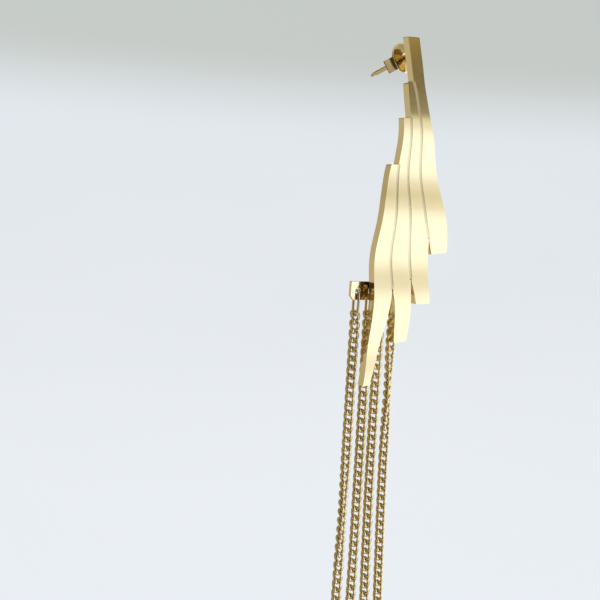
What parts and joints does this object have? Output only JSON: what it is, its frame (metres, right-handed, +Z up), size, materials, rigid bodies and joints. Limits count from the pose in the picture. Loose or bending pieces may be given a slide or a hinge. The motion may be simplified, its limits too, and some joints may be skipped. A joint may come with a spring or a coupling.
{
  "type": "dangle earring",
  "caption": "Long gold-coloured drop earring: a wavy wing-shaped plate of side-by-side strips on an ear post with a butterfly nut, and fine curb chains hanging from a bar behind it.",
  "frame": {"origin": "root of the ear post on the back of the plate, where the earring sits in the ear", "axes": "+Z up along the hanging chains, -Y towards the front of the plate, +X towards the outer strip"},
  "size_m": [0.0207, 0.0187, 0.1059],
  "materials": {
    "satin_gold": "satin gold plating on stainless steel",
    "bright_gold": "polished gold plating on stainless steel"
  },
  "bodies": {
    "earring": {"wing_plate": "satin_gold", "jump_ring_1": "bright_gold", "jump_ring_2": "bright_gold", "jump_ring_3": "bright_gold", "jump_ring_4": "bright_gold", "chain_1": "bright_gold", "chain_2": "bright_gold", "chain_3": "bright_gold", "chain_4": "bright_gold"},
    "ear_nut": {"ear_nut": "bright_gold"}
  },
  "joints": [
    {"name": "ear_nut_slide", "type": "slide", "parent": "earring", "child": "ear_nut", "axis": [0, 0.9563, -0.2924], "range_m": [-0.0015, 0.0103]}
  ]
}
